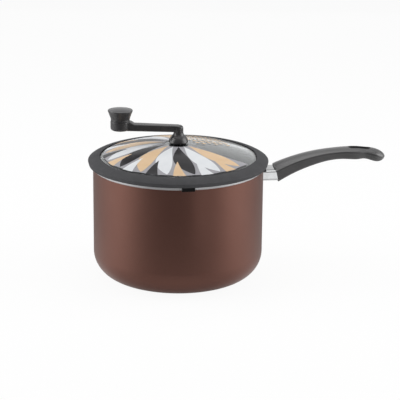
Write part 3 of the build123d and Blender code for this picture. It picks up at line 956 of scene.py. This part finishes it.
@dataclass(frozen=True)
class BounceCard:
    """A small white card on the floor, which the flame guard's side mirrors."""

    name: str
    azimuth_deg: float
    reach_m: float
    side_m: float
    level: float

    def build(self) -> None:
        """Lays the card, face up. A level of one mirrors as white."""
        data = bpy.data.lights.new(self.name, "AREA")
        data.size = self.side_m
        data.energy = self.level * math.pi * self.side_m**2
        card = bpy.data.objects.new(self.name, data)
        card.location = bearing(self.azimuth_deg, 0.0) * self.reach_m + Vector((0, 0, 2 * MM))
        card.rotation_euler = (math.pi, 0, 0)
        card.visible_camera = False
        bpy.context.scene.collection.objects.link(card)
        LOG.info("laid %s", self.name)


def bearing(azimuth_deg: float, elevation_deg: float) -> Vector:
    """Gives the direction to a place round the popper.

    Args:
        azimuth_deg: 0 is the side towards -Y, and 90 the side towards +X.
        elevation_deg: angle above the floor.

    Returns:
        A unit vector from the popper to that place.
    """
    azimuth, elevation = math.radians(azimuth_deg), math.radians(elevation_deg)
    flat = math.cos(elevation)
    return Vector((math.sin(azimuth) * flat, -math.cos(azimuth) * flat, math.sin(elevation)))


@dataclass
class Studio:
    """Pale floor, soft light and the camera at the photograph's angle."""

    view_azimuth_deg: float = -7.4
    view_elevation_deg: float = 17.1
    view_roll_deg: float = 0.55
    view_distance_mm: float = 2000.0
    view_target_mm: tuple[float, float, float] = (26.2, -3.4, 91.96)
    focal_px: float = 1658.4
    frame_px: float = 400.0
    sensor_mm: float = 36.0
    floor_radius_m: float = 9.0
    floor_colour: str = "#f4f4f4"
    foot_level: float = 0.5
    side_level: float = 0.78
    back_level: float = 0.1
    mirrored_level: float = 0.45
    mirrored_front_level: float = 0.1
    foot_from_m: float = 0.11
    foot_to_m: float = 0.26
    shown_share: float = 0.93
    mirrored_share: float = 0.72
    fill_level: float = 0.30
    front_level: float = 0.08
    lamps: list[Lamp] = field(
        default_factory=lambda: [
            Lamp("left_soft_box", -96.0, 22.0, 1.5, 1.3, 0.75),
            Lamp("right_soft_box", 82.0, 22.0, 1.5, 1.3, 0.75),
            Lamp("top_soft_box", 172.6, 82.0, 1.6, 1.4, 0.42),
            Lamp("back_soft_box", 172.6, 20.0, 1.6, 1.3, 0.05),
        ]
    )
    bounce: BounceCard = BounceCard("bounce_card", 21.1, 0.467, 0.15, 0.7)

    def build(self) -> None:
        """Sets up the whole studio."""
        target = Vector(self.view_target_mm) * MM
        self.build_camera(target)
        for lamp in self.lamps:
            lamp.build(target)
        self.bounce.build()
        self.build_world()
        self.build_floor()
        bpy.context.scene.view_settings.view_transform = "Standard"

    def build_camera(self, target: Vector) -> None:
        """Stands the camera where the photograph was taken from."""
        data = bpy.data.cameras.new("camera")
        data.sensor_width = self.sensor_mm
        data.lens = self.focal_px / self.frame_px * self.sensor_mm
        camera = bpy.data.objects.new("camera", data)
        back = bearing(self.view_azimuth_deg, self.view_elevation_deg)
        camera.location = target + back * self.view_distance_mm * MM
        camera.rotation_mode = "QUATERNION"
        level = (-back).to_track_quat("-Z", "Y")
        roll = Quaternion((0, 0, 1), math.radians(self.view_roll_deg))
        camera.rotation_quaternion = level @ roll
        bpy.context.scene.collection.objects.link(camera)
        bpy.context.scene.camera = camera

    def shown_rays(self, tree: Tree) -> Socket:
        """Gives 1 for rays that see the backdrop itself: from the camera, a mirror or glass."""
        path = add_node(tree, "ShaderNodeLightPath")
        first = add_node(
            tree,
            "ShaderNodeMath",
            {"operation": "MAXIMUM"},
            {0: path.outputs["Is Camera Ray"], 1: path.outputs["Is Transmission Ray"]},
        )
        return first.outputs[0]

    def build_world(self) -> None:
        """Lights the room: dim behind the camera, brighter to the sides and behind.

        The camera and glass see it white. Mirror-like rays see it graded.
        """
        world = bpy.data.worlds.new("studio_world")
        bpy.context.scene.world = world
        world.use_nodes = True
        tree = world.node_tree
        tree.nodes.clear()
        place = add_node(tree, "ShaderNodeTexCoord")
        towards = add_node(
            tree,
            "ShaderNodeVectorMath",
            {"operation": "DOT_PRODUCT", 1: bearing(self.view_azimuth_deg, 0.0)},
            {0: place.outputs["Generated"]},
        )
        level = add_node(
            tree,
            "ShaderNodeMapRange",
            {
                "interpolation_type": "SMOOTHSTEP",
                "From Min": 0.0,
                "From Max": 0.95,
                "To Min": self.fill_level,
                "To Max": self.front_level,
            },
            {"Value": towards.outputs["Value"]},
        )
        path = add_node(tree, "ShaderNodeLightPath")
        glossy = add_node(
            tree,
            "ShaderNodeMapRange",
            {
                "interpolation_type": "SMOOTHSTEP",
                "From Min": 0.1,
                "From Max": 0.95,
                "To Min": self.mirrored_level,
                "To Max": self.mirrored_front_level,
            },
            {"Value": towards.outputs["Value"]},
        )
        mirrored = add_node(
            tree,
            "ShaderNodeMix",
            {"data_type": "FLOAT"},
            {0: path.outputs["Is Glossy Ray"], 2: level.outputs[0], 3: glossy.outputs[0]},
        )
        shown = add_node(
            tree,
            "ShaderNodeMix",
            {"data_type": "FLOAT", 3: 1.0},
            {0: self.shown_rays(tree), 2: mirrored.outputs[0]},
        )
        light = add_node(
            tree, "ShaderNodeBackground", {"Color": linear("#ffffff")}, {"Strength": shown.outputs[0]}
        )
        add_node(tree, "ShaderNodeOutputWorld", None, {"Surface": light.outputs[0]})

    def build_floor(self) -> None:
        """Lays the pale floor, which shows white and keeps the popper's shadow.

        Mirror-like rays see it graded by place: dark by the pan's foot on the
        photograph's side and behind, pale to both sides. The enamel's upright
        bands are the reflection of that.
        """
        mesh = bmesh.new()
        bmesh.ops.create_circle(
            mesh, cap_ends=True, segments=96, radius=self.floor_radius_m
        )
        data = bpy.data.meshes.new("studio_floor")
        mesh.to_mesh(data)
        mesh.free()
        floor = bpy.data.objects.new("studio_floor", data)
        bpy.context.scene.collection.objects.link(floor)
        material = bpy.data.materials.new("pale_paper")
        material.use_nodes = True
        tree = material.node_tree
        tree.nodes.clear()
        paper = add_node(
            tree, "ShaderNodeBsdfDiffuse", {"Color": linear(self.floor_colour)}
        )
        path = add_node(tree, "ShaderNodeLightPath")
        place = add_node(tree, "ShaderNodeTexCoord")
        outward = add_node(
            tree,
            "ShaderNodeVectorMath",
            {"operation": "NORMALIZE"},
            {0: place.outputs["Object"]},
        )
        towards = add_node(
            tree,
            "ShaderNodeVectorMath",
            {"operation": "DOT_PRODUCT", 1: bearing(self.view_azimuth_deg, 0.0)},
            {0: outward.outputs[0]},
        )
        reach = add_node(
            tree,
            "ShaderNodeVectorMath",
            {"operation": "LENGTH"},
            {0: place.outputs["Object"]},
        )
        near = add_node(
            tree,
            "ShaderNodeMapRange",
            {
                "From Min": self.foot_from_m,
                "From Max": self.foot_to_m,
                "To Min": self.foot_level,
                "To Max": 0.0,
            },
            {"Value": reach.outputs["Value"]},
        )
        ahead = add_node(
            tree,
            "ShaderNodeMapRange",
            {
                "interpolation_type": "SMOOTHSTEP",
                "From Min": 0.3,
                "From Max": 1.0,
                "To Min": 1.0,
            },
            {"Value": towards.outputs["Value"], "To Max": near.outputs[0]},
        )
        behind = add_node(
            tree,
            "ShaderNodeMapRange",
            {
                "interpolation_type": "SMOOTHSTEP",
                "From Min": -0.9,
                "From Max": 0.25,
                "To Min": self.back_level,
                "To Max": self.side_level,
            },
            {"Value": towards.outputs["Value"]},
        )
        # Painted reflection: mirror-like rays see the floor glow at this graded level, dim before the
        # pan's foot and behind, pale to both sides. The enamel's upright bands mirror it.
        painted_reflection_level = add_node(
            tree,
            "ShaderNodeMath",
            {"operation": "MULTIPLY"},
            {0: ahead.outputs[0], 1: behind.outputs[0]},
        )
        strength = add_node(
            tree,
            "ShaderNodeMix",
            {"data_type": "FLOAT", 2: 1.0},
            {0: path.outputs["Is Glossy Ray"], 3: painted_reflection_level.outputs[0]},
        )
        glow = add_node(
            tree,
            "ShaderNodeEmission",
            {"Color": linear("#ffffff")},
            {"Strength": strength.outputs[0]},
        )
        backdrop = add_node(
            tree,
            "ShaderNodeMath",
            {"operation": "MULTIPLY", 1: self.shown_share},
            {0: self.shown_rays(tree)},
        )
        mirrored = add_node(
            tree,
            "ShaderNodeMath",
            {"operation": "MULTIPLY", 1: self.mirrored_share},
            {0: path.outputs["Is Glossy Ray"]},
        )
        share = add_node(
            tree,
            "ShaderNodeMath",
            {"operation": "MAXIMUM"},
            {0: backdrop.outputs[0], 1: mirrored.outputs[0]},
        )
        both = add_node(
            tree,
            "ShaderNodeMixShader",
            None,
            {0: share.outputs[0], 1: paper.outputs[0], 2: glow.outputs[0]},
        )
        add_node(tree, "ShaderNodeOutputMaterial", None, {"Surface": both.outputs[0]})
        data.materials.append(material)


def main() -> None:
    """Loads the solids, sets up the studio and builds each sub-assembly in order."""
    logging.basicConfig(level=logging.INFO, format="%(name)s: %(message)s")
    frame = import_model()
    Studio().build()
    makers: list[Callable[[], None]] = [
        Pan(frame).build,
        Handle(frame).build,
        Lid(frame).build,
        Crank(frame).build,
        Knob(frame).build,
    ]
    for make in makers:
        make()


if __name__ == "__main__":
    main()
